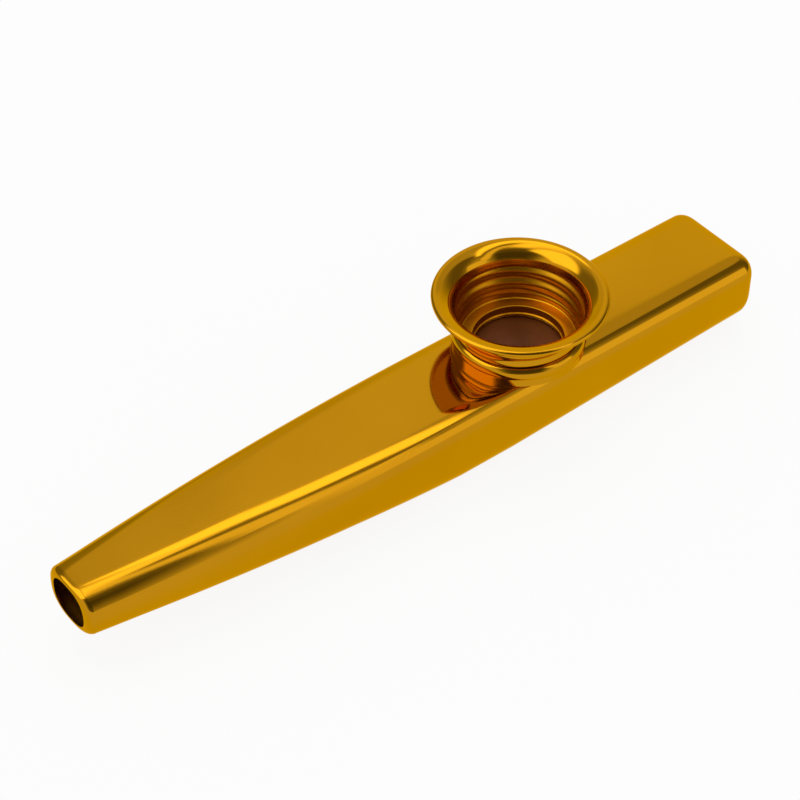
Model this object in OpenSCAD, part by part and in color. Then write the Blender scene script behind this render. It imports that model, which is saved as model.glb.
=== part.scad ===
// Metal kazoo: a flattened tube that tapers to a narrow end, a threaded socket on its flat top,
// a membrane stack inside the socket and a flared screw cap that holds the stack down.
// Sizes are in millimetres. X runs along the tube with the wide end at +X, and Z is up.
// The origin lies under the middle of the length, at the lowest point of the belly.

/* [Tube] */
// Length of the tube from rim to rim
tube_len = 121; // [100:1:140]
// Width of the tube behind the taper
tube_w = 17.9; // [17.6:0.1:21]
// Height of the flat top above the lowest point of the belly
tube_h = 13.9; // [13:0.1:18]
// Thickness of the tube's sheet
tube_sheet = 0.6; // [0.4:0.05:0.8]
// Radius along the two top edges behind the taper
top_edge_r = 3.1; // [2:0.1:4]
// Radius along the two lower edges
belly_edge_r = 5.1; // [3:0.1:6]
// Length of the stretch behind the taper
rear_len = 58.5; // [54:0.5:66]
// Length of the level stretch of the belly that the kazoo rests on
rest_len = 10; // [8:0.5:16]
// Rise of the belly from the level stretch to the wide end
rear_rise = 1.8; // [0:0.1:3]

/* [Narrow end] */
// Width of the narrow end
tip_w = 10.8; // [10:0.1:14]
// Rise of the belly from the level stretch to the narrow end
tip_rise = 5.7; // [4:0.1:6]
// Radius along the two top edges at the narrow end
tip_edge_r = 3.6; // [2.5:0.1:3.9]
// Length over which the rim of the narrow end rolls inwards
tip_roll = 1.1; // [0.6:0.1:2]
// Width of the rolled lip at each side of the narrow mouth
tip_lip_side = 1.4; // [0.6:0.1:2]
// Width of the rolled lip above the narrow mouth
tip_lip_top = 0.5; // [0.4:0.1:1]
// Width of the rolled lip below the narrow mouth
tip_lip_low = 0.7; // [0.4:0.1:1]
// Width of the cut edge round both mouths
cut_edge = 0.25; // [0.1:0.05:0.35]

/* [Wide end] */
// Length over which the rim of the wide end rolls inwards
wide_roll = 2.4; // [1:0.1:4]
// Width of the rolled lip at each side of the wide mouth
wide_lip_side = 2.4; // [1:0.1:3.5]
// Width of the rolled lip above and below the wide mouth
wide_lip_top = 2; // [1:0.1:2.6]

/* [Turret socket] */
// Distance from the wide end to the turret's axis
turret_from_end = 41.5; // [36:0.5:46]
// Height of the socket's rim above the flat top
socket_h = 3; // [2.4:0.1:4]
// Thickness of the socket's threaded wall at its bead
socket_wall = 0.6; // [0.4:0.05:0.8]
// How far the bead stands out over the wall below it
socket_bead = 0.2; // [0:0.05:0.3]
// Height of the bead, whose round upper half closes in on the cap's neck
bead_h = 2.4; // [1.6:0.1:2.6]
// Thickness of the socket's floor over the flat top
socket_floor = 0.3; // [0.2:0.05:0.5]
// Thickness of the spigot that goes through the tube's top
spigot_wall = 0.5; // [0.3:0.05:0.6]
// Clearance between the spigot and the hole in the tube
hole_gap = 0.05; // [0.02:0.01:0.1]
// Width of the ledge that carries the membrane stack
ledge_w = 0.75; // [0.5:0.05:1.2]
// Thickness of the ledge
ledge_t = 0.5; // [0.3:0.05:0.8]
// Depth to which the socket's foot is notched over the tube's rounded edges
saddle_depth = 0.2; // [0.1:0.05:0.6]

/* [Membrane stack] */
// Diameter of the membrane
disc_d = 15.1; // [14:0.1:15.3]
// Thickness of the membrane film
film_t = 0.08; // [0.05:0.01:0.15]
// Thickness of the ring that the film is bonded on
ring_t = 0.5; // [0.3:0.05:0.7]
// Width of the ring that the film is bonded on
ring_w = 0.8; // [0.5:0.05:1]
// Thickness of the washer under that ring
washer_t = 0.3; // [0.2:0.05:0.5]
// Thickness of the slip ring under the cap
slip_t = 0.4; // [0.3:0.05:0.6]
// Clearance around the stack in the socket
stack_gap = 0.1; // [0.05:0.01:0.15]
// Clearance above and below the slip ring
seat_gap = 0.05; // [0.03:0.01:0.1]

/* [Screw cap] */
// Diameter of the flared rim
rim_d = 26.4; // [25:0.1:30]
// Height of the flared rim above the flat top
rim_h = 9.2; // [8.2:0.1:12]
// Diameter of the neck between the threads
neck_d = 18.4; // [17.6:0.1:19.4]
// Thickness of the cap's sheet
cap_sheet = 0.35; // [0.25:0.05:0.5]
// How much the neck widens from the socket's rim up to the flared rim
neck_taper = 1.5; // [1:0.1:1.8]
// Height of the flare below the rim
flare_h = 2.1; // [1.8:0.1:3]
// Radius of the curled rim
rim_roll = 0.45; // [0.4:0.05:0.6]
// Depth of the well in the cap's floor
well_depth = 1.3; // [1:0.05:1.6]
// Clearance between the well and the socket's spigot
well_gap = 0.4; // [0.1:0.05:0.5]
// Width of the flange at the bottom of the well
lip_w = 0.6; // [0.5:0.05:1]
// Radius of the bend between the neck and the floor
floor_bend_r = 0.6; // [0.55:0.05:0.9]
// Rise of the thread in one turn
thread_pitch = 2; // [1.6:0.1:2.4]
// Depth of the rolled thread
thread_depth = 0.3; // [0.2:0.05:0.4]
// Height of the plain stretch between the thread and the flare
thread_drop = 0.2; // [0:0.1:1.5]
// Radial clearance between the cap's thread and the socket's
thread_gap = 0.1; // [0.08:0.01:0.15]

/* [Hidden] */

// Overrun of every cut past the face it leaves
cut = 1;
// How far each end of the threaded neck is lapped by the plain part it runs into
lap = 0.2;
// Extra thickness of that plain part on both faces of the neck
lap_cover = 0.03;

// Smallest corner radius that a section keeps when it is inset
least_r = 0.3;

// Exponents of the taper in plan and of the belly's rise in side view
taper_power = 1.96;
belly_power = 1.12;
// Largest share of a section's half height that its corner radii take
round_share = 0.98;

// Steps in each quarter corner, along the taper and over each rolled rim
corner_steps = 8;
taper_steps = 12;
roll_steps = 4;
// Points round the thread, and rings in one turn of it
thread_sides = 48;
thread_rings = 8;
// Facets in the flare's curve, in a bend, and round the socket's bead and the curled rim
flare_steps = 14;
bend_steps = 5;
bead_steps = 12;

$fn = 96;

tip_x = -tube_len / 2;
wide_x = tube_len / 2;
taper_x = wide_x - rear_len;
rest_x = taper_x + rest_len;
turret_x = wide_x - turret_from_end;

// Radii of what fits in and round the hole, from the membrane outwards
disc_r = disc_d / 2;
spigot_in_r = disc_r + stack_gap;
spigot_out_r = spigot_in_r + spigot_wall;
hole_r = spigot_out_r + hole_gap;
neck_r = neck_d / 2;
neck_in_r = neck_r - cap_sheet;
crest_r = neck_r + thread_depth;
socket_in_r = crest_r + thread_gap;
socket_out_r = socket_in_r + socket_wall;

// Radius at which the flare turns level, and its width from the tapered neck
flare_at = rim_d / 2 - rim_roll;
flare_w = flare_at - neck_in_r - neck_taper;

// Heights of the stack, from the cap's floor downwards
floor_z = tube_h + socket_floor + seat_gap;
well_r = spigot_in_r - well_gap;
lip_r = well_r - lip_w;
lip_z = floor_z - well_depth;
slip_z = lip_z - seat_gap - slip_t;
film_z = slip_z - seat_gap - film_t;
ring_z = film_z - ring_t;
washer_z = ring_z - washer_t;
ledge_z = washer_z - ledge_t;

// Heights of the cap's neck and flare, and of the socket's rim
rim_z = tube_h + rim_h;
flare_z = rim_z - flare_h;
neck_z = floor_z + floor_bend_r;
neck_top_z = flare_z - thread_drop;
socket_z = tube_h + socket_h;

// Height over which each end of a thread fades into the plain wall
thread_fade = thread_pitch / 4;
thread_step = thread_pitch / thread_rings;

function mix(a, b, t) = a + (b - a) * t;

// An arc about a point, as profile points from one angle to another; its first points can be left out
function arc(c, rx, rz, from, to, steps, first = 0) =
    [for (i = [first:steps])
        let (a = mix(from, to, i / steps))
        [c[0] + rx * cos(a), c[1] + rz * sin(a)]];

// A section of the tube: half width, top, bottom, top edge radius, lower edge radius
function grow(x) = max(0, min(1, (taper_x - x) / (taper_x - tip_x)));
function behind(x) = max(0, (x - rest_x) / (wide_x - rest_x));
function section(x) =
    let (s = grow(x))
    [
        tube_w / 2 - (tube_w - tip_w) / 2 * pow(s, taper_power),
        tube_h,
        tip_rise * pow(s, belly_power) + rear_rise * behind(x),
        top_edge_r + (tip_edge_r - top_edge_r) * s,
        belly_edge_r
    ];
function inset(p, side, top, low) =
    [p[0] - side, p[1] - top, p[2] + low, max(p[3] - top, least_r), max(p[4] - low, least_r)];

// The outline of a section, as points from the right side over the top and round
function corner(y, z, r, from) = arc([y, z], r, r, from, from + 90, corner_steps);
function outline(p) =
    let (
        limit = round_share * (p[1] - p[2]) / 2,
        rt = min(p[3], limit),
        rb = min(p[4], limit)
    )
    concat(
        corner(p[0] - rt, p[1] - rt, rt, 0),
        corner(rt - p[0], p[1] - rt, rt, 90),
        corner(rb - p[0], p[2] + rb, rb, 180),
        corner(p[0] - rb, p[2] + rb, rb, 270)
    );

// The tube's skin is a row of rings: out along the outside, round the wide rim and back inside
tip_mouth = inset(section(tip_x), tip_lip_side, tip_lip_top, tip_lip_low);
wide_mouth = inset(section(wide_x), wide_lip_side, wide_lip_top, wide_lip_top);
function wall_in(x) = inset(section(x), tube_sheet, tube_sheet, tube_sheet);
function hole(mouth) = inset(mouth, cut_edge, cut_edge, cut_edge);
function end_ring(i, rim_x, wall_x, mouth, at_wall) =
    let (a = 90 * i / roll_steps)
    [mix(wall_x, rim_x, cos(a)), mix(mouth, at_wall, sin(a))];
function taper_at(i, x0) = mix(x0, taper_x, i / taper_steps);

out_tip_x = tip_x + tip_roll;
out_wide_x = wide_x - wide_roll;
in_tip_x = out_tip_x + tube_sheet;
in_wide_x = out_wide_x - tube_sheet;
rings = concat(
    [for (i = [0:roll_steps]) end_ring(i, tip_x, out_tip_x, tip_mouth, section(out_tip_x))],
    [for (i = [1:taper_steps]) let (x = taper_at(i, out_tip_x)) [x, section(x)]],
    [[rest_x, section(rest_x)]],
    [for (i = [roll_steps:-1:0]) end_ring(i, wide_x, out_wide_x, wide_mouth, section(out_wide_x))],
    [for (i = [0:roll_steps]) end_ring(i, wide_x, in_wide_x, hole(wide_mouth), wall_in(in_wide_x))],
    [[rest_x, wall_in(rest_x)]],
    [for (i = [taper_steps:-1:1]) let (x = taper_at(i, in_tip_x)) [x, wall_in(x)]],
    [for (i = [roll_steps:-1:0]) end_ring(i, tip_x, in_tip_x, hole(tip_mouth), wall_in(in_tip_x))]
);

// Faces of a skin of closed rings: joined end to end, or closed with a face at each end
function skin_quads(count, sides, joined) =
    [for (k = [0:count - (joined ? 1 : 2)], j = [0:sides - 1])
        let (
            near = k * sides,
            far = ((k + 1) % count) * sides,
            next = (j + 1) % sides
        )
        each [[near + j, far + j, far + next], [near + j, far + next, near + next]]
    ];

module skin(stack, joined) {
    sides = len(stack[0]);
    last = (len(stack) - 1) * sides;
    ends = joined ? [] : [[for (j = [0:sides - 1]) j], [for (j = [sides - 1:-1:0]) last + j]];
    polyhedron(
        points = [for (ring = stack) each ring],
        faces = concat(skin_quads(len(stack), sides, joined), ends),
        convexity = 10
    );
}

// The threads are right-handed; both share one helix, so the cap's slides along the socket's
function ramp(z, from, to) = max(0, min(1, (z - from) / (to - from)));
function helix(z, a) = (1 + cos(360 * z / thread_pitch - a)) / 2;
function cap_thread(z, a) =
    let (low = neck_z + 2 * lap, high = neck_top_z - 2 * lap)
    helix(z, a) * ramp(z, low, low + thread_fade) * ramp(z, high, high - thread_fade);
function socket_thread(z, a) = helix(z, a) * ramp(z, neck_z + lap - thread_fade, neck_z + lap);
function thread_circle(z, r, kind) =
    [for (i = [0:thread_sides - 1])
        let (
            a = 360 * i / thread_sides,
            depth = thread_depth * (kind == "cap" ? cap_thread(z, a) : socket_thread(z, a))
        )
        [(r + depth) * cos(a), (r + depth) * sin(a), z]
    ];

// Above the socket the neck tapers and ends in a quarter ellipse; these are its inner and outer radius
function horn(z, w, h) =
    flare_at - neck_taper * ramp(z, rim_z, socket_z) - w * sqrt(max(0, 1 - pow(max(0, z - flare_z) / h, 2)));
function horn_in(z) = horn(z, flare_w, flare_h);
function horn_out(z) = horn(z, flare_w - cap_sheet, flare_h - cap_sheet);

module cap_neck() {
    count = ceil((neck_top_z - neck_z) / thread_step);
    up = [for (i = [0:count]) mix(neck_z, neck_top_z, i / count)];
    down = [for (i = [count:-1:0]) mix(neck_z, neck_top_z, i / count)];
    skin(
        concat(
            [for (z = up) thread_circle(z, horn_out(z), "cap")],
            [for (z = down) thread_circle(z, horn_in(z), "cap")]
        ),
        true
    );
}

module socket_bore() {
    low = tube_h + socket_floor;
    high = socket_z + cut;
    count = ceil((high - low) / thread_step);
    bore_r = neck_r + thread_gap;
    skin([for (i = [0:count]) thread_circle(mix(low, high, i / count), bore_r, "socket")], false);
}

module at_turret(z) {
    translate([turret_x, 0, z])
        children();
}

module flat_ring(z, t, r_out, r_in) {
    at_turret(z)
        difference() {
            cylinder(r = r_out, h = t);
            translate([0, 0, -cut])
                cylinder(r = r_in, h = t + 2 * cut);
        }
}

module tube() {
    color([0.75, 0.55, 0.12])
        difference() {
            skin([for (ring = rings) [for (p = outline(ring[1])) [ring[0], p[0], p[1]]]], true);
            at_turret(ledge_z)
                cylinder(r = hole_r, h = tube_h - ledge_z + cut);
        }
}

// The stretch of the tube that the socket's foot is notched over
module saddle_cut() {
    half = socket_out_r + cut;
    translate([turret_x - half, 0, 0])
        rotate([90, 0, 90])
            linear_extrude(2 * half)
                polygon(outline(section(turret_x)));
}

module turret_socket() {
    foot_r = socket_out_r - socket_bead;
    foot_z = tube_h - saddle_depth;
    bead_w = socket_out_r - neck_r;
    bead_z = socket_z - bead_h / 2;
    bead_from = -acos((bead_w - socket_bead) / bead_w);
    floor_top = tube_h + socket_floor;
    color([0.78, 0.57, 0.14]) {
        difference() {
            at_turret(0)
                rotate_extrude()
                    polygon(concat(
                        [[spigot_in_r, foot_z], [foot_r, foot_z]],
                        arc([neck_r, bead_z], bead_w, bead_h / 2, bead_from, 90, bead_steps),
                        [[spigot_in_r, socket_z]]
                    ));
            saddle_cut();
            at_turret(0)
                socket_bore();
        }
        at_turret(0)
            rotate_extrude()
                polygon([
                    [spigot_in_r - ledge_w, ledge_z],
                    [spigot_out_r, ledge_z],
                    [spigot_out_r, floor_top],
                    [spigot_in_r, floor_top],
                    [spigot_in_r, washer_z],
                    [spigot_in_r - ledge_w, washer_z]
                ]);
    }
}

module seat_washer() {
    color([0.62, 0.5, 0.36])
        flat_ring(washer_z, washer_t, disc_r, spigot_in_r - ledge_w);
}

module membrane_ring() {
    color([0.86, 0.82, 0.72])
        flat_ring(ring_z, ring_t, disc_r, disc_r - ring_w);
}

module membrane_film() {
    color([0.32, 0.18, 0.12])
        at_turret(film_z)
            cylinder(r = disc_r, h = film_t);
}

module slip_ring() {
    color([0.8, 0.62, 0.2])
        flat_ring(slip_z, slip_t, disc_r - stack_gap, disc_r - ring_w);
}

// The cap's floor with the well that presses the stack, lapped over the foot of the neck
module cap_floor() {
    bend = [neck_r - floor_bend_r, neck_z];
    bend_in_r = floor_bend_r - cap_sheet;
    lip_top = lip_z + cap_sheet;
    well_in_r = well_r - cap_sheet;
    rotate_extrude()
        polygon(concat(
            [[neck_r + lap_cover, neck_z + lap], [neck_r + lap_cover, neck_z]],
            arc(bend, floor_bend_r, floor_bend_r, 0, -90, bend_steps),
            [[well_r, floor_z], [well_r, lip_z], [lip_r, lip_z], [lip_r, lip_top], [well_in_r, lip_top]],
            arc([well_r, floor_z], cap_sheet, cap_sheet, 180, 90, bend_steps),
            arc(bend, bend_in_r, bend_in_r, -90, 0, bend_steps),
            [[neck_in_r - lap_cover, neck_z], [neck_in_r - lap_cover, neck_z + lap]]
        ));
}

// The plain part of the flare and its curled rim, lapped over the top of the neck
module cap_flare() {
    foot_z = neck_top_z - lap;
    out_h = flare_h - cap_sheet;
    rotate_extrude()
        polygon(concat(
            [[horn_in(foot_z) - lap_cover, foot_z], [horn_in(neck_top_z) - lap_cover, neck_top_z]],
            [for (i = [0:flare_steps])
                let (z = flare_z + flare_h * sin(90 * i / flare_steps))
                [horn_in(z), z]],
            arc([flare_at, rim_z - rim_roll], rim_roll, rim_roll, 90, -90, bead_steps, 1),
            [for (i = [flare_steps:-1:0])
                let (z = flare_z + out_h * sin(90 * i / flare_steps))
                [horn_out(z), z]],
            [[horn_out(neck_top_z) + lap_cover, neck_top_z], [horn_out(foot_z) + lap_cover, foot_z]]
        ));
}

module screw_cap() {
    color([0.8, 0.58, 0.13])
        at_turret(0) {
            cap_neck();
            cap_floor();
            cap_flare();
        }
}

tube();
turret_socket();
seat_washer();
membrane_ring();
membrane_film();
slip_ring();
screw_cap();
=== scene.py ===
"""A gold-coloured metal kazoo on a white table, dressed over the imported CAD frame."""
import bpy
import math
from mathutils import Matrix, Quaternion, Vector


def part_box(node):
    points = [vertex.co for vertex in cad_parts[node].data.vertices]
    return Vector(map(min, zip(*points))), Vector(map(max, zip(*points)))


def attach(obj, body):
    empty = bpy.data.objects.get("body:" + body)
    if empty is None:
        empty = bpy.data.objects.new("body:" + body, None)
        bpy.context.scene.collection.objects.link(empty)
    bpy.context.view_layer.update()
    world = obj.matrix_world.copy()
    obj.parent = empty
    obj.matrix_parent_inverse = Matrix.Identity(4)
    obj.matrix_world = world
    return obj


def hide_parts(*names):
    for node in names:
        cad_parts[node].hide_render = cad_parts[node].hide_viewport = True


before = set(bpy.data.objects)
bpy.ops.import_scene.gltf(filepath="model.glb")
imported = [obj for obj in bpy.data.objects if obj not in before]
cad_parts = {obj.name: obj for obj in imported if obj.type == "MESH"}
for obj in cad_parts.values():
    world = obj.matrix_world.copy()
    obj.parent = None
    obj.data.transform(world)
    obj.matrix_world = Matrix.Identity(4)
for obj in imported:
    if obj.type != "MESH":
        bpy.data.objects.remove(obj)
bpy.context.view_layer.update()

MM = 0.001
TAU = 2 * math.pi

# The camera that fits the photograph, in millimetres and pixels
CAMERA_AT = (-156.68, -196.93, 251.59)
CAMERA_BACK = (-0.44540, -0.57196, 0.68883)
FOCAL_PX = 2369.65
IMAGE_PX = 800
SENSOR_MM = 36
CAMERA_SHIFT_PX = (-0.5, 0.5)
# The nearest and farthest distances that the camera sees, in metres
CAMERA_CLIP = (0.01, 20)

# Driving dimensions of the tube, in millimetres, as the CAD has them.
# Each lip says how far its mouth is drawn in at the sides, at the top and at the bottom.
TUBE_W = 17.9
TUBE_SHEET = 0.6
TOP_EDGE_R = 3.1
BELLY_EDGE_R = 5.1
LEAST_R = 0.3
REAR_LEN = 58.5
REST_LEN = 10
REAR_RISE = 1.8
TIP_W = 10.8
TIP_RISE = 5.7
TIP_EDGE_R = 3.6
TIP_ROLL = 1.1
TIP_LIP = (1.4, 0.5, 0.7)
WIDE_ROLL = 2.4
WIDE_LIP = (2.4, 2.0, 2.0)
CUT_EDGE = 0.25
# How the width and the belly draw in toward the tip, where 1 is a straight taper
TAPER_POWER = 1.96
BELLY_POWER = 1.12
# The most of half a side that a corner takes up
ROUND_SHARE = 0.98

# Driving dimensions of the turret, in millimetres, as the CAD has them
SOCKET_H = 3.0
SOCKET_WALL = 0.6
SOCKET_BEAD = 0.2
BEAD_H = 2.4
SOCKET_FLOOR = 0.3
SADDLE_DEPTH = 0.2
HOLE_GAP = 0.05
SPIGOT_WALL = 0.5
LEDGE_W = 0.75
LEDGE_T = 0.5
RING_W = 0.8
STACK_GAP = 0.1
SEAT_GAP = 0.05
CAP_SHEET = 0.35
NECK_R = 9.2
RIM_ROLL = 0.45
NECK_TAPER = 1.5
FLARE_H = 2.1
WELL_DEPTH = 1.3
WELL_GAP = 0.4
LIP_W = 0.6
FLOOR_BEND_R = 0.6
THREAD_PITCH = 2.0
THREAD_DEPTH = 0.3
THREAD_DROP = 0.2
THREAD_GAP = 0.1
LAP = 0.2


def cad(node):
    """The lowest and highest corners of a CAD node, in millimetres."""
    low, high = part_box(node)
    return Vector(low) / MM, Vector(high) / MM


# Places that the frame gives
TUBE_LOW, TUBE_HIGH = cad("tube")
CAP_LOW, CAP_HIGH = cad("screw_cap")
RING_LOW, RING_HIGH = cad("membrane_ring")
TIP_X = TUBE_LOW.x
WIDE_X = TUBE_HIGH.x
DECK_Z = TUBE_HIGH.z
TAPER_X = WIDE_X - REAR_LEN
REST_X = TAPER_X + REST_LEN
TURRET_X = (CAP_LOW.x + CAP_HIGH.x) / 2
RIM_R = (CAP_HIGH.x - CAP_LOW.x) / 2
RIM_Z = CAP_HIGH.z
LEDGE_Z = cad("turret_socket")[0].z

# Radii and heights that follow, in the turret
DISC_R = (RING_HIGH.x - RING_LOW.x) / 2
SPIGOT_IN_R = DISC_R + STACK_GAP
SPIGOT_OUT_R = SPIGOT_IN_R + SPIGOT_WALL
NECK_IN_R = NECK_R - CAP_SHEET
SOCKET_IN_R = NECK_R + THREAD_DEPTH + THREAD_GAP
SOCKET_OUT_R = SOCKET_IN_R + SOCKET_WALL
FLARE_AT = RIM_R - RIM_ROLL
FLARE_W = FLARE_AT - NECK_IN_R - NECK_TAPER
FLARE_Z = RIM_Z - FLARE_H
FLOOR_Z = DECK_Z + SOCKET_FLOOR + SEAT_GAP
NECK_Z = FLOOR_Z + FLOOR_BEND_R
NECK_TOP_Z = FLARE_Z - THREAD_DROP
SOCKET_Z = DECK_Z + SOCKET_H
WELL_R = SPIGOT_IN_R - WELL_GAP
LIP_R = WELL_R - LIP_W
LIP_Z = FLOOR_Z - WELL_DEPTH
THREAD_FADE = THREAD_PITCH / 4

# Points round everything turned about the turret's axis
TURNED_SIDES = 240
# Angles between faces, in degrees, above which an edge shows as sharp
CREASE = 40
TUBE_CREASE = 35


# Mesh helpers

def mix(a, b, t):
    return a + (b - a) * t


def clamp(t):
    return max(0.0, min(1.0, t))


def smooth(t):
    t = clamp(t)
    return t * t * (3 - 2 * t)


def new_object(name, points, faces, crease=CREASE):
    """A smooth-shaded object from points in millimetres, with sharp edges above the crease angle."""
    mesh = bpy.data.meshes.new(name)
    mesh.from_pydata([tuple(c * MM for c in p) for p in points], [], faces)
    mesh.validate()
    mesh.polygons.foreach_set("use_smooth", [True] * len(mesh.polygons))
    mesh.set_sharp_from_angle(angle=math.radians(crease))
    mesh.update()
    obj = bpy.data.objects.new(name, mesh)
    bpy.context.scene.collection.objects.link(obj)
    return obj


def ring_faces(count, sides, joined):
    """Quads that face outward between closed rings of points; joined ties the last ring to the first."""
    faces = []
    for k in range(count if joined else count - 1):
        near, far = k * sides, ((k + 1) % count) * sides
        for j in range(sides):
            n = (j + 1) % sides
            faces.append((near + j, near + n, far + n, far + j))
    return faces


def skin(name, rings, crease=CREASE):
    """A closed skin: a row of rings whose last one joins the first."""
    points = [p for ring in rings for p in ring]
    return new_object(name, points, ring_faces(len(rings), len(rings[0]), True), crease)


def stack(name, rings):
    """A solid from a row of rings about the turret's axis, closed by a flat face at each end."""
    sides, count = TURNED_SIDES, len(rings)
    last = (count - 1) * sides
    ends = [tuple(reversed(range(sides))), tuple(range(last, last + sides))]
    return new_object(name, [p for ring in rings for p in ring], ring_faces(count, sides, False) + ends)


def rectangle(name, half_w, half_h):
    """A flat rectangle about the origin, from half its width and half its height."""
    corners = [(-half_w, -half_h, 0), (half_w, -half_h, 0), (half_w, half_h, 0), (-half_w, half_h, 0)]
    return new_object(name, corners, [(0, 1, 2, 3)])


def mark_dull(obj, shares, sides):
    """Gives each ring's points their share of the worked, duller finish, for the material to read."""
    mark = obj.data.attributes.new("dull", "FLOAT", "POINT")
    mark.data.foreach_set("value", [share for share in shares for _ in range(sides)])


def arc(centre, rx, rz, start, end, steps):
    """Profile points (r, z) on an ellipse about a centre, between two angles in degrees."""
    angles = [math.radians(mix(start, end, i / steps)) for i in range(steps + 1)]
    return [(centre[0] + rx * math.cos(a), centre[1] + rz * math.sin(a)) for a in angles]


def line(a, b, steps):
    """Profile points between a and b, without either of them."""
    return [(mix(a[0], b[0], i / steps), mix(a[1], b[1], i / steps)) for i in range(1, steps)]


def turned_ring(radius_at, z_at):
    """A ring about the turret's axis, whose radius and height are functions of the angle."""
    angles = [TAU * i / TURNED_SIDES for i in range(TURNED_SIDES)]
    return [(TURRET_X + radius_at(a) * math.cos(a), radius_at(a) * math.sin(a), z_at(a)) for a in angles]


def plain_ring(r, z):
    return turned_ring(lambda a: r, lambda a: z)


# Tube

# Points in each rounded corner, and how gently its bend starts (2 is a plain ellipse)
CORNER_STEPS = 22
CORNER_POWER = 2.45
# Where the points lie between two corners
FLAT_SHARES = (0.06, 0.35, 0.65, 0.94)
# Rings over each rolled rim, along the taper and behind it
ROLL_STEPS = 12
TAPER_STEPS = 56
REAR_STEPS = 44
# How far the hole's tool reaches above and below the top, in millimetres
HOLE_REACH = 3


def section(x):
    """Half width, top, bottom, top edge radius and lower edge radius of the tube at x."""
    s = clamp((TAPER_X - x) / (TAPER_X - TIP_X))
    behind = max(0.0, (x - REST_X) / (WIDE_X - REST_X))
    return (
        TUBE_W / 2 - (TUBE_W - TIP_W) / 2 * s ** TAPER_POWER,
        DECK_Z,
        TIP_RISE * s ** BELLY_POWER + REAR_RISE * behind,
        mix(TOP_EDGE_R, TIP_EDGE_R, s),
        BELLY_EDGE_R,
    )


def inset(p, side, top, low):
    """A section drawn in by its own depth at the sides, at the top and at the bottom."""
    return (p[0] - side, p[1] - top, p[2] + low, max(p[3] - top, LEAST_R), max(p[4] - low, LEAST_R))


def wall_in(x):
    return inset(section(x), TUBE_SHEET, TUBE_SHEET, TUBE_SHEET)


def mixed(p, q, t):
    return tuple(mix(a, b, t) for a, b in zip(p, q))


def corner(y, z, ry, rz, quarter):
    """A rounded corner whose bend starts and ends gently, in one of the four quarters."""
    points = []
    for i in range(CORNER_STEPS + 1):
        a = math.pi / 2 * i / CORNER_STEPS
        c = math.cos(a) ** (2 / CORNER_POWER) if i < CORNER_STEPS else 0.0
        s = math.sin(a) ** (2 / CORNER_POWER)
        u, v = ((c, s), (-s, c), (-c, -s), (s, -c))[quarter]
        points.append((y + ry * u, z + rz * v))
    return points


def outline(p):
    """A section's outline, from the right side over the top and round."""
    half, top, low, top_r, low_r = p
    # A gentler corner is wider, so that it cuts off as much as the CAD's round one
    ease = (1 - 0.5 ** 0.5) / (1 - 0.5 ** (1 / CORNER_POWER))
    limit = ROUND_SHARE * (top - low) / 2
    ty, tz = min(top_r * ease, half * ROUND_SHARE), min(top_r * ease, limit)
    by, bz = min(low_r * ease, half * ROUND_SHARE), min(low_r * ease, limit)
    corners = [
        corner(half - ty, top - tz, ty, tz, 0),
        corner(ty - half, top - tz, ty, tz, 1),
        corner(by - half, low + bz, by, bz, 2),
        corner(half - by, low + bz, by, bz, 3),
    ]
    points = []
    for k, part in enumerate(corners):
        ahead = corners[(k + 1) % 4][0]
        points += part + [mixed(part[-1], ahead, t) for t in FLAT_SHARES]
    return points


def tube_rings():
    """Rings out along the outside, round the wide rim and back inside to the narrow mouth.

    With them comes each ring's share of the dull finish: 0 outside and 1 inside.
    """
    tip_mouth = inset(section(TIP_X), *TIP_LIP)
    wide_mouth = inset(section(WIDE_X), *WIDE_LIP)
    tip_out, wide_out = TIP_X + TIP_ROLL, WIDE_X - WIDE_ROLL
    tip_in, wide_in = tip_out + TUBE_SHEET, wide_out - TUBE_SHEET

    def end_rings(rim_x, wall_x, mouth, wall):
        """From the mouth over the rolled rim to the wall."""
        for i in range(ROLL_STEPS + 1):
            a = math.pi / 2 * i / ROLL_STEPS
            yield mix(wall_x, rim_x, math.cos(a)), mixed(mouth, wall, math.sin(a))

    def straight(start, end, at):
        """Along the wall, from behind one rolled end to the other."""
        xs = [mix(start, TAPER_X, i / TAPER_STEPS) for i in range(1, TAPER_STEPS)]
        xs += [mix(TAPER_X, end, i / REAR_STEPS) for i in range(REAR_STEPS)]
        return [(x, at(x)) for x in xs]

    def hole(mouth):
        """The mouth's inner edge, past the thickness of the cut sheet."""
        return inset(mouth, CUT_EDGE, CUT_EDGE, CUT_EDGE)

    stations = list(end_rings(TIP_X, tip_out, tip_mouth, section(tip_out)))
    stations += straight(tip_out, wide_out, section)
    stations += reversed(list(end_rings(WIDE_X, wide_out, wide_mouth, section(wide_out))))
    outside = len(stations)
    stations += end_rings(WIDE_X, wide_in, hole(wide_mouth), wall_in(wide_in))
    stations += reversed(straight(tip_in, wide_in, wall_in))
    stations += reversed(list(end_rings(TIP_X, tip_in, hole(tip_mouth), wall_in(tip_in))))
    shares = [0.0] * outside + [1.0] * (len(stations) - outside)
    return [[(x, y, z) for y, z in outline(p)] for x, p in stations], shares


def cut_hole(obj, radius):
    """Cuts the turret's hole through the tube's top, under the socket's foot."""
    tool = stack("hole_tool", [plain_ring(radius, DECK_Z + z) for z in (-HOLE_REACH, HOLE_REACH)])
    change = obj.modifiers.new("hole", "BOOLEAN")
    change.operation, change.solver, change.object = "DIFFERENCE", "EXACT", tool
    graph = bpy.context.evaluated_depsgraph_get()
    mesh = bpy.data.meshes.new_from_object(obj.evaluated_get(graph))
    obj.modifiers.clear()
    obj.data = mesh
    bpy.data.objects.remove(tool)


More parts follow.
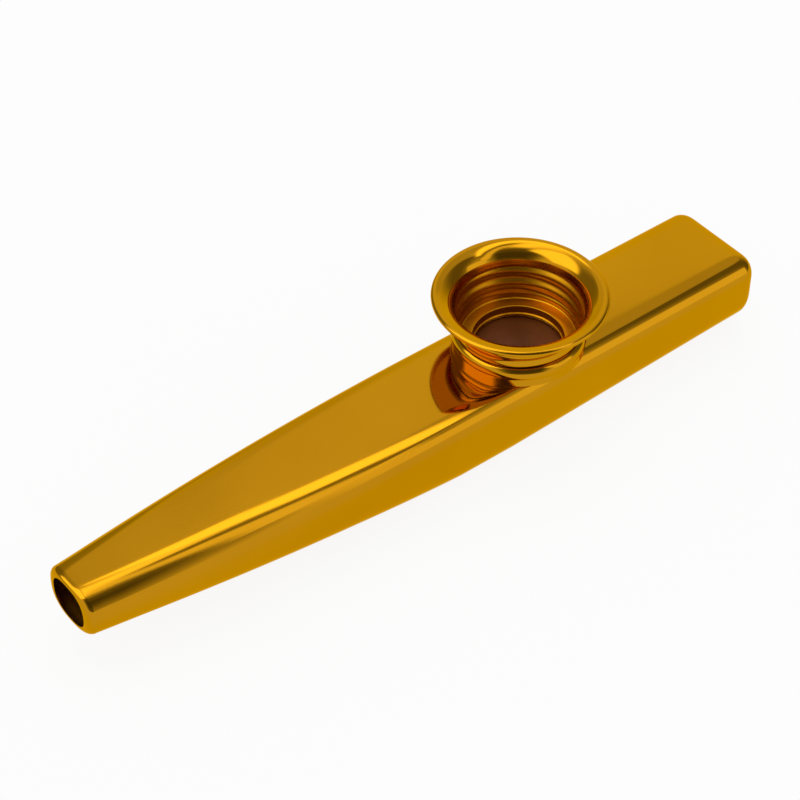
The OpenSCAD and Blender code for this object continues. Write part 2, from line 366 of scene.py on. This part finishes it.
def make_tube():
    rings, shares = tube_rings()
    tube = skin("tube_shell", rings, TUBE_CREASE)
    mark_dull(tube, shares, len(rings[0]))
    cut_hole(tube, SPIGOT_OUT_R + HOLE_GAP)
    return tube


def deck_height(y):
    """Height of the tube's top surface at the turret, at a distance y from its middle."""
    half = [p for p in outline(section(TURRET_X)) if p[0] >= 0 and p[1] > DECK_Z / 2]
    half.sort()
    for (y0, z0), (y1, z1) in zip(half, half[1:]):
        if y0 <= abs(y) <= y1 and y1 > y0:
            return mix(z0, z1, (abs(y) - y0) / (y1 - y0))
    return 0.0


# Turret

# Rows of points up a wall, in a bend, on the socket's bead and along the flare
WALL_ROWS = 64
BEND_ROWS = 10
BEAD_ROWS = 40
FLARE_ROWS = 60
# Rows on a short step, on a rounded edge and from the flare's underside down behind the curled rim
STEP_ROWS = 4
EDGE_ROWS = 5
CURL_ROWS = 3
# Rounding of a raw sheet edge and of a tight bend, in millimetres
EDGE_R = 0.1
# Height over which the flare's polish gives way to the rolled neck, in millimetres
DULL_FADE = 1.5
# Half the stretch over which the neck's taper starts, as a share of the taper's height
TAPER_BEND = 0.15


def helix(z, a):
    """The thread's height at z and angle a, from 0 in the groove to 1 on the crest."""
    return (1 + math.cos(TAU * z / THREAD_PITCH - a)) / 2


def cap_thread(z, a):
    """The cap's thread, which fades out before both ends of its neck."""
    low, high = NECK_Z + 2 * LAP, NECK_TOP_Z - 2 * LAP
    return THREAD_DEPTH * helix(z, a) * smooth((z - low) / THREAD_FADE) * smooth((high - z) / THREAD_FADE)


def socket_thread(z, a):
    """The socket's thread, which fades out above its floor."""
    return THREAD_DEPTH * helix(z, a) * smooth((z - NECK_Z - LAP + THREAD_FADE) / THREAD_FADE)


def eased(t):
    """t above 0 and 0 below it, with a short bend between the two."""
    if abs(t) > TAPER_BEND:
        return max(0.0, t)
    return (t + TAPER_BEND) ** 2 / (4 * TAPER_BEND)


def horn(z, w, h):
    """Radius of the neck's taper and of the quarter ellipse that it ends in."""
    taper = NECK_TAPER * (1 - eased((z - SOCKET_Z) / (RIM_Z - SOCKET_Z)))
    return FLARE_AT - taper - w * max(0.0, 1 - (max(0.0, z - FLARE_Z) / h) ** 2) ** 0.5


def horn_points(w, h):
    """Profile points up the neck and along the flare, with a face's width and height of the ellipse."""
    heights = [mix(NECK_Z, FLARE_Z, i / WALL_ROWS) for i in range(1, WALL_ROWS)]
    heights += [FLARE_Z + h * math.sin(math.pi / 2 * i / FLARE_ROWS) for i in range(FLARE_ROWS + 1)]
    return [(horn(z, w, h), z) for z in heights]


def cap_outside():
    """From the lip in the well, over the floor's underside and up the neck to the curled rim."""
    bend = (NECK_R - FLOOR_BEND_R, NECK_Z)
    points = line((LIP_R + CAP_SHEET / 2, LIP_Z), (WELL_R - EDGE_R, LIP_Z), STEP_ROWS)
    points += arc((WELL_R - EDGE_R, LIP_Z + EDGE_R), EDGE_R, EDGE_R, -90, 0, EDGE_ROWS)
    points += line((WELL_R, LIP_Z + EDGE_R), (WELL_R, FLOOR_Z - EDGE_R), STEP_ROWS)
    points += arc((WELL_R + EDGE_R, FLOOR_Z - EDGE_R), EDGE_R, EDGE_R, 180, 90, STEP_ROWS)
    points += line((WELL_R + EDGE_R, FLOOR_Z), (bend[0], FLOOR_Z), STEP_ROWS)
    points += arc(bend, FLOOR_BEND_R, FLOOR_BEND_R, -90, 0, BEND_ROWS)
    points += horn_points(FLARE_W - CAP_SHEET, FLARE_H - CAP_SHEET)
    return points + line((FLARE_AT, RIM_Z - CAP_SHEET), (FLARE_AT, RIM_Z - 2 * RIM_ROLL), CURL_ROWS)


def cap_inside():
    """Round the curled rim, then down the flare and the neck to the lip in the well."""
    bend = (NECK_R - FLOOR_BEND_R, NECK_Z)
    bend_in = FLOOR_BEND_R - CAP_SHEET
    well_in = WELL_R - CAP_SHEET
    lip_top = LIP_Z + CAP_SHEET
    lip_round = CAP_SHEET / 2
    points = arc((FLARE_AT, RIM_Z - RIM_ROLL), RIM_ROLL, RIM_ROLL, -90, 90, 3 * BEND_ROWS)
    # Downward, without the flare's last point, which the curl ends in
    points += horn_points(FLARE_W, FLARE_H)[-2::-1]
    points += arc(bend, bend_in, bend_in, 0, -90, BEND_ROWS)
    points += line((bend[0], FLOOR_Z + CAP_SHEET), (WELL_R, FLOOR_Z + CAP_SHEET), STEP_ROWS)
    points += arc((well_in + EDGE_R, FLOOR_Z + CAP_SHEET - EDGE_R), EDGE_R, EDGE_R, 90, 180, STEP_ROWS)
    points += line((well_in, FLOOR_Z), (well_in, lip_top + EDGE_R), STEP_ROWS)
    points += arc((well_in - EDGE_R, lip_top + EDGE_R), EDGE_R, EDGE_R, 0, -90, STEP_ROWS)
    points += arc((LIP_R + lip_round, LIP_Z + lip_round), lip_round, lip_round, 90, 270, BEND_ROWS)
    return points


def make_cap():
    rings, shares = [], []
    outside = cap_outside()
    for i, (r, z) in enumerate(outside + cap_inside()):
        on_neck = NECK_Z <= z <= NECK_TOP_Z
        rings.append(turned_ring(lambda a: r + (cap_thread(z, a) if on_neck else 0), lambda a: z))
        shares.append(smooth((FLARE_Z - z) / DULL_FADE) if i >= len(outside) else 0.0)
    cap = skin("cap", rings)
    mark_dull(cap, shares, TURNED_SIDES)
    return cap


def make_socket():
    foot_r = SOCKET_OUT_R - SOCKET_BEAD
    foot_z = DECK_Z - SADDLE_DEPTH
    bead_w = SOCKET_OUT_R - NECK_R
    bead_z = SOCKET_Z - BEAD_H / 2
    bead_from = -math.acos((bead_w - SOCKET_BEAD) / bead_w)
    floor_top = DECK_Z + SOCKET_FLOOR
    seat_z = LEDGE_Z + LEDGE_T
    bore_r = NECK_R + THREAD_GAP

    def under(r):
        """The foot's underside, which follows the tube's top where that is above the notch."""
        return turned_ring(lambda a: r, lambda a: max(foot_z, deck_height(r * math.sin(a))))

    def bead(turn):
        """A ring on the bead, from its foot at 0 to where it meets the thread at 1."""
        def angle(a):
            mouth = math.acos((bore_r + socket_thread(SOCKET_Z, a) - NECK_R) / bead_w)
            return mix(bead_from, mouth, turn)
        return turned_ring(lambda a: NECK_R + bead_w * math.cos(angle(a)),
                           lambda a: bead_z + BEAD_H / 2 * math.sin(angle(a)))

    foot_top = (foot_r, bead_z + BEAD_H / 2 * math.sin(bead_from))
    rings = [under(mix(SPIGOT_OUT_R, foot_r, i / STEP_ROWS)) for i in range(STEP_ROWS + 1)]
    rings += [plain_ring(r, z) for r, z in line((foot_r, DECK_Z), foot_top, 2 * STEP_ROWS)]
    rings += [bead(i / BEAD_ROWS) for i in range(BEAD_ROWS + 1)]
    for z in (mix(SOCKET_Z - EDGE_R, floor_top, i / WALL_ROWS) for i in range(WALL_ROWS + 1)):
        rings.append(turned_ring(lambda a: bore_r + socket_thread(z, a), lambda a: z))
    inner = ((SPIGOT_IN_R + EDGE_R, floor_top), (SPIGOT_IN_R, floor_top - EDGE_R), (SPIGOT_IN_R, seat_z),
             (SPIGOT_IN_R - LEDGE_W, seat_z), (SPIGOT_IN_R - LEDGE_W, LEDGE_Z), (SPIGOT_OUT_R, LEDGE_Z))
    rings += [plain_ring(r, z) for r, z in inner]
    return skin("socket", rings)


# Softened edges of the rings in the stack, in millimetres
RING_EDGE = 0.08
WASHER_EDGE = 0.06


def rounded_ring(name, node, inner, edge):
    """A flat ring in a CAD node's place, with softened edges."""
    low, high = cad(node)
    outer = (high.x - low.x) / 2
    profile = []
    for r, z, start in ((inner + edge, low.z + edge, 180), (outer - edge, low.z + edge, 270),
                        (outer - edge, high.z - edge, 0), (inner + edge, high.z - edge, 90)):
        profile += arc((r, z), edge, edge, start, start + 90, EDGE_ROWS)
    return skin(name, [plain_ring(r, z) for r, z in profile])


FILM_ROWS = 40
# The film's puckers: how many, how unevenly spaced, and how high in millimetres
PUCKERS = 9
PUCKER_DRIFT = 3
PUCKER_H = 0.012
# Where the film starts to lie flat on its ring, and over how much, as shares of its radius
BOND_SHARE = 0.8
BOND_FADE_SHARE = 0.08


def make_film():
    """The membrane: a thin disc with faint puckers, drawn flat where it is bonded on its ring."""
    low, high = cad("membrane_film")

    def pucker(r, a):
        free = 1 - smooth((r / DISC_R - BOND_SHARE) / BOND_FADE_SHARE)
        return PUCKER_H * smooth(r / DISC_R) * math.sin(PUCKERS * a + PUCKER_DRIFT * math.sin(2 * a)) * free

    def face(z):
        radii = [max(DISC_R * i / FILM_ROWS, EDGE_R) for i in range(FILM_ROWS + 1)]
        return [turned_ring(lambda a: r, lambda a: z + pucker(r, a)) for r in radii]

    return stack("film", face(low.z + PUCKER_H) + face(high.z - PUCKER_H)[::-1])


# Materials

# Where a noise's values mostly lie
NOISE_RANGE = (0.3, 0.7)
# Colour of the gold at a grazing angle
EDGE_TINT = (1.0, 0.75, 0.3, 1)
# Height of the waves that the press leaves in the sheet, in metres
WAVE_H = 0.00001


def material(name):
    mat = bpy.data.materials.new(name)
    mat.use_nodes = True
    nodes, links = mat.node_tree.nodes, mat.node_tree.links
    return mat, nodes, links, nodes["Principled BSDF"]


def computed(nodes, links, operation, *inputs):
    """The result of a math node whose inputs are sockets or numbers."""
    node = nodes.new("ShaderNodeMath")
    node.operation = operation
    for slot, value in zip(node.inputs, inputs):
        if isinstance(value, (int, float)):
            slot.default_value = value
        else:
            links.new(value, slot)
    return node.outputs["Value"]


def noise(nodes, links, scale, detail, stretch=(1, 1, 1)):
    """Object-space noise; scale is in waves per metre."""
    coords = nodes.new("ShaderNodeTexCoord")
    mapping = nodes.new("ShaderNodeMapping")
    mapping.inputs["Scale"].default_value = stretch
    texture = nodes.new("ShaderNodeTexNoise")
    texture.inputs["Scale"].default_value = scale
    texture.inputs["Detail"].default_value = detail
    links.new(coords.outputs["Object"], mapping.inputs["Vector"])
    links.new(mapping.outputs["Vector"], texture.inputs["Vector"])
    return texture


def spread(nodes, links, texture, low, high):
    """The texture's value mapped to a range."""
    span = nodes.new("ShaderNodeMapRange")
    span.inputs["From Min"].default_value, span.inputs["From Max"].default_value = NOISE_RANGE
    span.inputs["To Min"].default_value = low
    span.inputs["To Max"].default_value = high
    links.new(texture.outputs["Fac"], span.inputs["Value"])
    return span.outputs["Result"]


def tinted(nodes, links, texture, dark, light):
    """A colour that drifts between two tones with the texture."""
    ramp = nodes.new("ShaderNodeValToRGB")
    for stop, position, tone in zip(ramp.color_ramp.elements, NOISE_RANGE, (dark, light)):
        stop.position = position
        stop.color = (*tone, 1)
    links.new(texture.outputs["Fac"], ramp.inputs["Fac"])
    return ramp.outputs["Color"]


def bumped(nodes, links, texture, distance, strength):
    bump = nodes.new("ShaderNodeBump")
    bump.inputs["Distance"].default_value = distance
    bump.inputs["Strength"].default_value = strength
    links.new(texture.outputs["Fac"], bump.inputs["Height"])
    return bump.outputs["Normal"]


def duller(nodes, links, roughness, extra):
    """Adds to the roughness where the mesh is marked as worked."""
    mark = nodes.new("ShaderNodeAttribute")
    mark.attribute_name = "dull"
    return computed(nodes, links, "MULTIPLY_ADD", mark.outputs["Fac"], extra, roughness)


def gold(name, dark, light, roughness, worked=0.0):
    """Polished gold-coloured anodised sheet, with faint waves from the press and fine wear."""
    mat, nodes, links, shader = material(name)
    shader.inputs["Metallic"].default_value = 1.0
    shader.inputs["Specular Tint"].default_value = EDGE_TINT
    broad = noise(nodes, links, scale=55, detail=2)
    fine = noise(nodes, links, scale=2600, detail=4, stretch=(0.25, 1, 1))
    links.new(tinted(nodes, links, broad, dark, light), shader.inputs["Base Color"])
    wear = spread(nodes, links, fine, *roughness)
    links.new(duller(nodes, links, wear, worked), shader.inputs["Roughness"])
    links.new(bumped(nodes, links, broad, distance=WAVE_H, strength=1.0), shader.inputs["Normal"])
    return mat


def card(name, dark, light):
    """Pressed card with short fibres."""
    mat, nodes, links, shader = material(name)
    fibres = noise(nodes, links, scale=3000, detail=6, stretch=(1, 0.3, 1))
    links.new(tinted(nodes, links, fibres, dark, light), shader.inputs["Base Color"])
    shader.inputs["Roughness"].default_value = 0.85
    links.new(bumped(nodes, links, fibres, distance=0.00003, strength=0.8), shader.inputs["Normal"])
    return mat


def film_material():
    """Dark translucent film with a soft sheen."""
    mat, nodes, links, shader = material("film")
    cloud = noise(nodes, links, scale=260, detail=5)
    grain = noise(nodes, links, scale=4000, detail=3)
    colour = tinted(nodes, links, cloud, dark=(0.10, 0.026, 0.004), light=(0.15, 0.040, 0.007))
    links.new(colour, shader.inputs["Base Color"])
    shader.inputs["Specular IOR Level"].default_value = 0.15
    links.new(spread(nodes, links, cloud, low=0.28, high=0.42), shader.inputs["Roughness"])
    links.new(bumped(nodes, links, grain, distance=0.00001, strength=0.6), shader.inputs["Normal"])
    return mat


# Stage

# Half the floor's side, and how far it lies under the tube, in millimetres
FLOOR_HALF = 3000
FLOOR_DROP = 0.02
# Share of the floor's white that shows whatever falls on it, so that its shadow stays faint
FLOOR_GLOW = 0.9
# Level of the world's light on matt surfaces
MATT_LEVEL = 0.8
# Distance of the farthest panel, and from each panel to the next nearer one, in millimetres
PANEL_AT = 480
PANEL_STEP = 5


def seen_by_camera_or_metal(nodes, links):
    """1 for a ray from the camera, the metal or the film, and 0 for one that lights a matt surface."""
    ray = nodes.new("ShaderNodeLightPath").outputs
    seen = computed(nodes, links, "MAXIMUM", ray["Is Camera Ray"], ray["Is Glossy Ray"])
    return computed(nodes, links, "MAXIMUM", seen, ray["Is Transmission Ray"])


def white_glow(nodes, level=1.0):
    glow = nodes.new("ShaderNodeEmission")
    glow.inputs["Color"].default_value = (level, level, level, 1)
    return glow.outputs["Emission"]


def blended(nodes, links, share, under, over):
    """Makes the material's surface the first shader, with the second one over it by a share."""
    blend = nodes.new("ShaderNodeMixShader")
    for slot, source in zip(blend.inputs, (share, under, over)):
        links.new(source, slot)
    links.new(blend.outputs["Shader"], nodes["Material Output"].inputs["Surface"])


def floor_material():
    """A white table that keeps a faint shadow."""
    mat, nodes, links, shader = material("table")
    texture = noise(nodes, links, scale=9, detail=3)
    colour = tinted(nodes, links, texture, dark=(0.86, 0.86, 0.86), light=(0.89, 0.89, 0.89))
    links.new(colour, shader.inputs["Base Color"])
    shader.inputs["Roughness"].default_value = 0.9
    shader.inputs["Specular IOR Level"].default_value = 0.0
    share = computed(nodes, links, "MULTIPLY", seen_by_camera_or_metal(nodes, links), FLOOR_GLOW)
    blended(nodes, links, share, shader.outputs["BSDF"], white_glow(nodes))
    return mat


def place(obj, azimuth, elevation, distance):
    """Puts an object at an azimuth (from +X toward +Y), an elevation and a distance, facing the kazoo."""
    a, e = math.radians(azimuth), math.radians(elevation)
    away = Vector((math.cos(e) * math.cos(a), math.cos(e) * math.sin(a), math.sin(e)))
    obj.location = away * distance * MM
    obj.rotation_mode = "QUATERNION"
    obj.rotation_quaternion = (-away).to_track_quat("-Z", "Y")


def faded(nodes, links, axis, half, fade):
    """1 on the panel, falling smoothly to 0 across its edge along one of its axes."""
    coords = nodes.new("ShaderNodeTexCoord")
    parts = nodes.new("ShaderNodeSeparateXYZ")
    links.new(coords.outputs["Object"], parts.inputs["Vector"])
    edge = nodes.new("ShaderNodeMapRange")
    edge.interpolation_type = "SMOOTHSTEP"
    edge.inputs["From Min"].default_value = (half - fade) * MM
    edge.inputs["From Max"].default_value = (half + fade) * MM
    edge.inputs["To Min"].default_value = 1.0
    edge.inputs["To Max"].default_value = 0.0
    links.new(computed(nodes, links, "ABSOLUTE", parts.outputs[axis]), edge.inputs["Value"])
    return edge.outputs["Result"]


def panel(name, order, azimuth, elevation, half_w, half_h, fade, level, roll=0):
    """A studio panel with soft edges for the metal to mirror: dark below a level of 1, a softbox above it.

    A higher order is nearer, and so covers the panels of a lower one. Lengths are in millimetres,
    and roll turns the panel in its own plane, in degrees.
    """
    obj = rectangle(name, half_w + fade, half_h + fade)
    mat, nodes, links, shader = material(name)
    nodes.remove(shader)
    mask = computed(nodes, links, "MULTIPLY", faded(nodes, links, "X", half_w, fade),
                    faded(nodes, links, "Y", half_h, fade))
    clear = nodes.new("ShaderNodeBsdfTransparent")
    blended(nodes, links, mask, clear.outputs["BSDF"], white_glow(nodes, level))
    obj.data.materials.append(mat)
    obj.visible_camera = False
    obj.visible_diffuse = False
    obj.visible_shadow = False
    place(obj, azimuth, elevation, PANEL_AT - PANEL_STEP * order)
    obj.rotation_quaternion @= Quaternion((0, 0, 1), math.radians(roll))


def lamp(name, azimuth, elevation, distance, size, level):
    """A soft lamp for the matt surfaces and the shadow, which the metal doesn't mirror."""
    data = bpy.data.lights.new(name, "AREA")
    data.shape = "SQUARE"
    data.size = size * MM
    data.energy = level * math.pi * data.size ** 2
    obj = bpy.data.objects.new(name, data)
    bpy.context.scene.collection.objects.link(obj)
    obj.visible_camera = False
    obj.visible_glossy = False
    place(obj, azimuth, elevation, distance)


def make_world():
    """White for the camera, the metal and the film; dimmer for the light that falls on matt surfaces."""
    world = bpy.data.worlds.new("studio")
    bpy.context.scene.world = world
    world.use_nodes = True
    nodes, links = world.node_tree.nodes, world.node_tree.links
    level = nodes.new("ShaderNodeMapRange")
    level.inputs["To Min"].default_value = MATT_LEVEL
    level.inputs["To Max"].default_value = 1.0
    links.new(seen_by_camera_or_metal(nodes, links), level.inputs["Value"])
    nodes["Background"].inputs["Color"].default_value = (1, 1, 1, 1)
    links.new(level.outputs["Result"], nodes["Background"].inputs["Strength"])


def make_floor():
    floor = rectangle("table", FLOOR_HALF, FLOOR_HALF)
    floor.location.z = -FLOOR_DROP * MM
    floor.data.materials.append(floor_material())


def make_camera():
    data = bpy.data.cameras.new("camera")
    data.sensor_width = SENSOR_MM
    data.lens = FOCAL_PX * SENSOR_MM / IMAGE_PX
    data.clip_start, data.clip_end = CAMERA_CLIP
    data.shift_x, data.shift_y = (s / IMAGE_PX for s in CAMERA_SHIFT_PX)
    camera = bpy.data.objects.new("camera", data)
    bpy.context.scene.collection.objects.link(camera)
    camera.location = Vector(CAMERA_AT) * MM
    back = Vector(CAMERA_BACK).normalized()
    right = Vector((0, 0, 1)).cross(back).normalized()
    camera.rotation_mode = "QUATERNION"
    camera.rotation_quaternion = Matrix((right, back.cross(right), back)).transposed().to_quaternion()
    bpy.context.scene.camera = camera


def make_panels():
    """The room's dark sides first, then the softboxes and what cuts them off."""
    panel("behind_camera", 0, azimuth=-118, elevation=32, half_w=340, half_h=480, fade=150, level=0.17)
    panel("dark_left", 1, azimuth=-16, elevation=28, half_w=230, half_h=560, fade=190, level=0.2)
    panel("dark_right", 2, azimuth=108, elevation=5, half_w=350, half_h=560, fade=240, level=0.3)
    panel("bounce", 3, azimuth=15, elevation=55, half_w=175, half_h=80, fade=10, level=0.7, roll=-50)
    panel("ceiling", 4, azimuth=65, elevation=81, half_w=55, half_h=145, fade=55, level=2.4)
    panel("strip", 5, azimuth=14, elevation=68.5, half_w=250, half_h=38, fade=10, level=2.6, roll=-5)
    panel("key", 6, azimuth=-60, elevation=56, half_w=55, half_h=215, fade=15, level=1.4, roll=-20)
    panel("side", 7, azimuth=156, elevation=52, half_w=190, half_h=215, fade=40, level=2.4)
    panel("skirt", 8, azimuth=-114, elevation=38, half_w=180, half_h=145, fade=35, level=0.1)
    panel("fill", 9, azimuth=-56, elevation=16, half_w=125, half_h=130, fade=25, level=1.3)
    panel("haze", 10, azimuth=71, elevation=30, half_w=40, half_h=155, fade=10, level=0.85)
    panel("gap", 11, azimuth=-41, elevation=66, half_w=20, half_h=270, fade=10, level=0.35, roll=-30)


def make_studio():
    bpy.context.scene.view_settings.view_transform = "Standard"
    make_world()
    make_floor()
    make_camera()
    lamp("overhead", azimuth=60, elevation=72, distance=900, size=700, level=0.9)
    make_panels()


def dress(obj, body, mat, node):
    """Gives a piece its material and its body, in place of a CAD node."""
    obj.data.materials.clear()
    obj.data.materials.append(mat)
    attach(obj, body)
    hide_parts(node)


# A dark and a light tone of the sheet, of the cap, which is a little lighter, and of the slip ring's brass
SHEET_TONES = ((0.50, 0.225, 0.0055), (0.53, 0.245, 0.0065))
CAP_TONES = ((0.51, 0.23, 0.0055), (0.54, 0.25, 0.0065))
BRASS_TONES = ((0.45, 0.22, 0.03), (0.52, 0.27, 0.05))

tube_gold = gold("tube_gold", *SHEET_TONES, roughness=(0.07, 0.09), worked=0.3)
cap_gold = gold("cap_gold", *CAP_TONES, roughness=(0.09, 0.12), worked=0.2)
socket_gold = gold("socket_gold", *SHEET_TONES, roughness=(0.07, 0.10))
slip_brass = gold("slip_brass", *BRASS_TONES, roughness=(0.25, 0.35))

dress(make_tube(), "tube_body", tube_gold, "tube")
dress(make_socket(), "tube_body", socket_gold, "turret_socket")
dress(make_cap(), "cap", cap_gold, "screw_cap")
dress(make_film(), "tube_body", film_material(), "membrane_film")

slip = rounded_ring("slip", "slip_ring", DISC_R - RING_W, RING_EDGE)
dress(slip, "lift_ring", slip_brass, "slip_ring")

ring = rounded_ring("ring", "membrane_ring", DISC_R - RING_W, RING_EDGE)
ring_card = card("ring_card", dark=(0.45, 0.36, 0.24), light=(0.62, 0.52, 0.38))
dress(ring, "tube_body", ring_card, "membrane_ring")

washer = rounded_ring("washer", "seat_washer", SPIGOT_IN_R - LEDGE_W, WASHER_EDGE)
washer_card = card("washer_card", dark=(0.22, 0.15, 0.08), light=(0.34, 0.24, 0.14))
dress(washer, "tube_body", washer_card, "seat_washer")

make_studio()
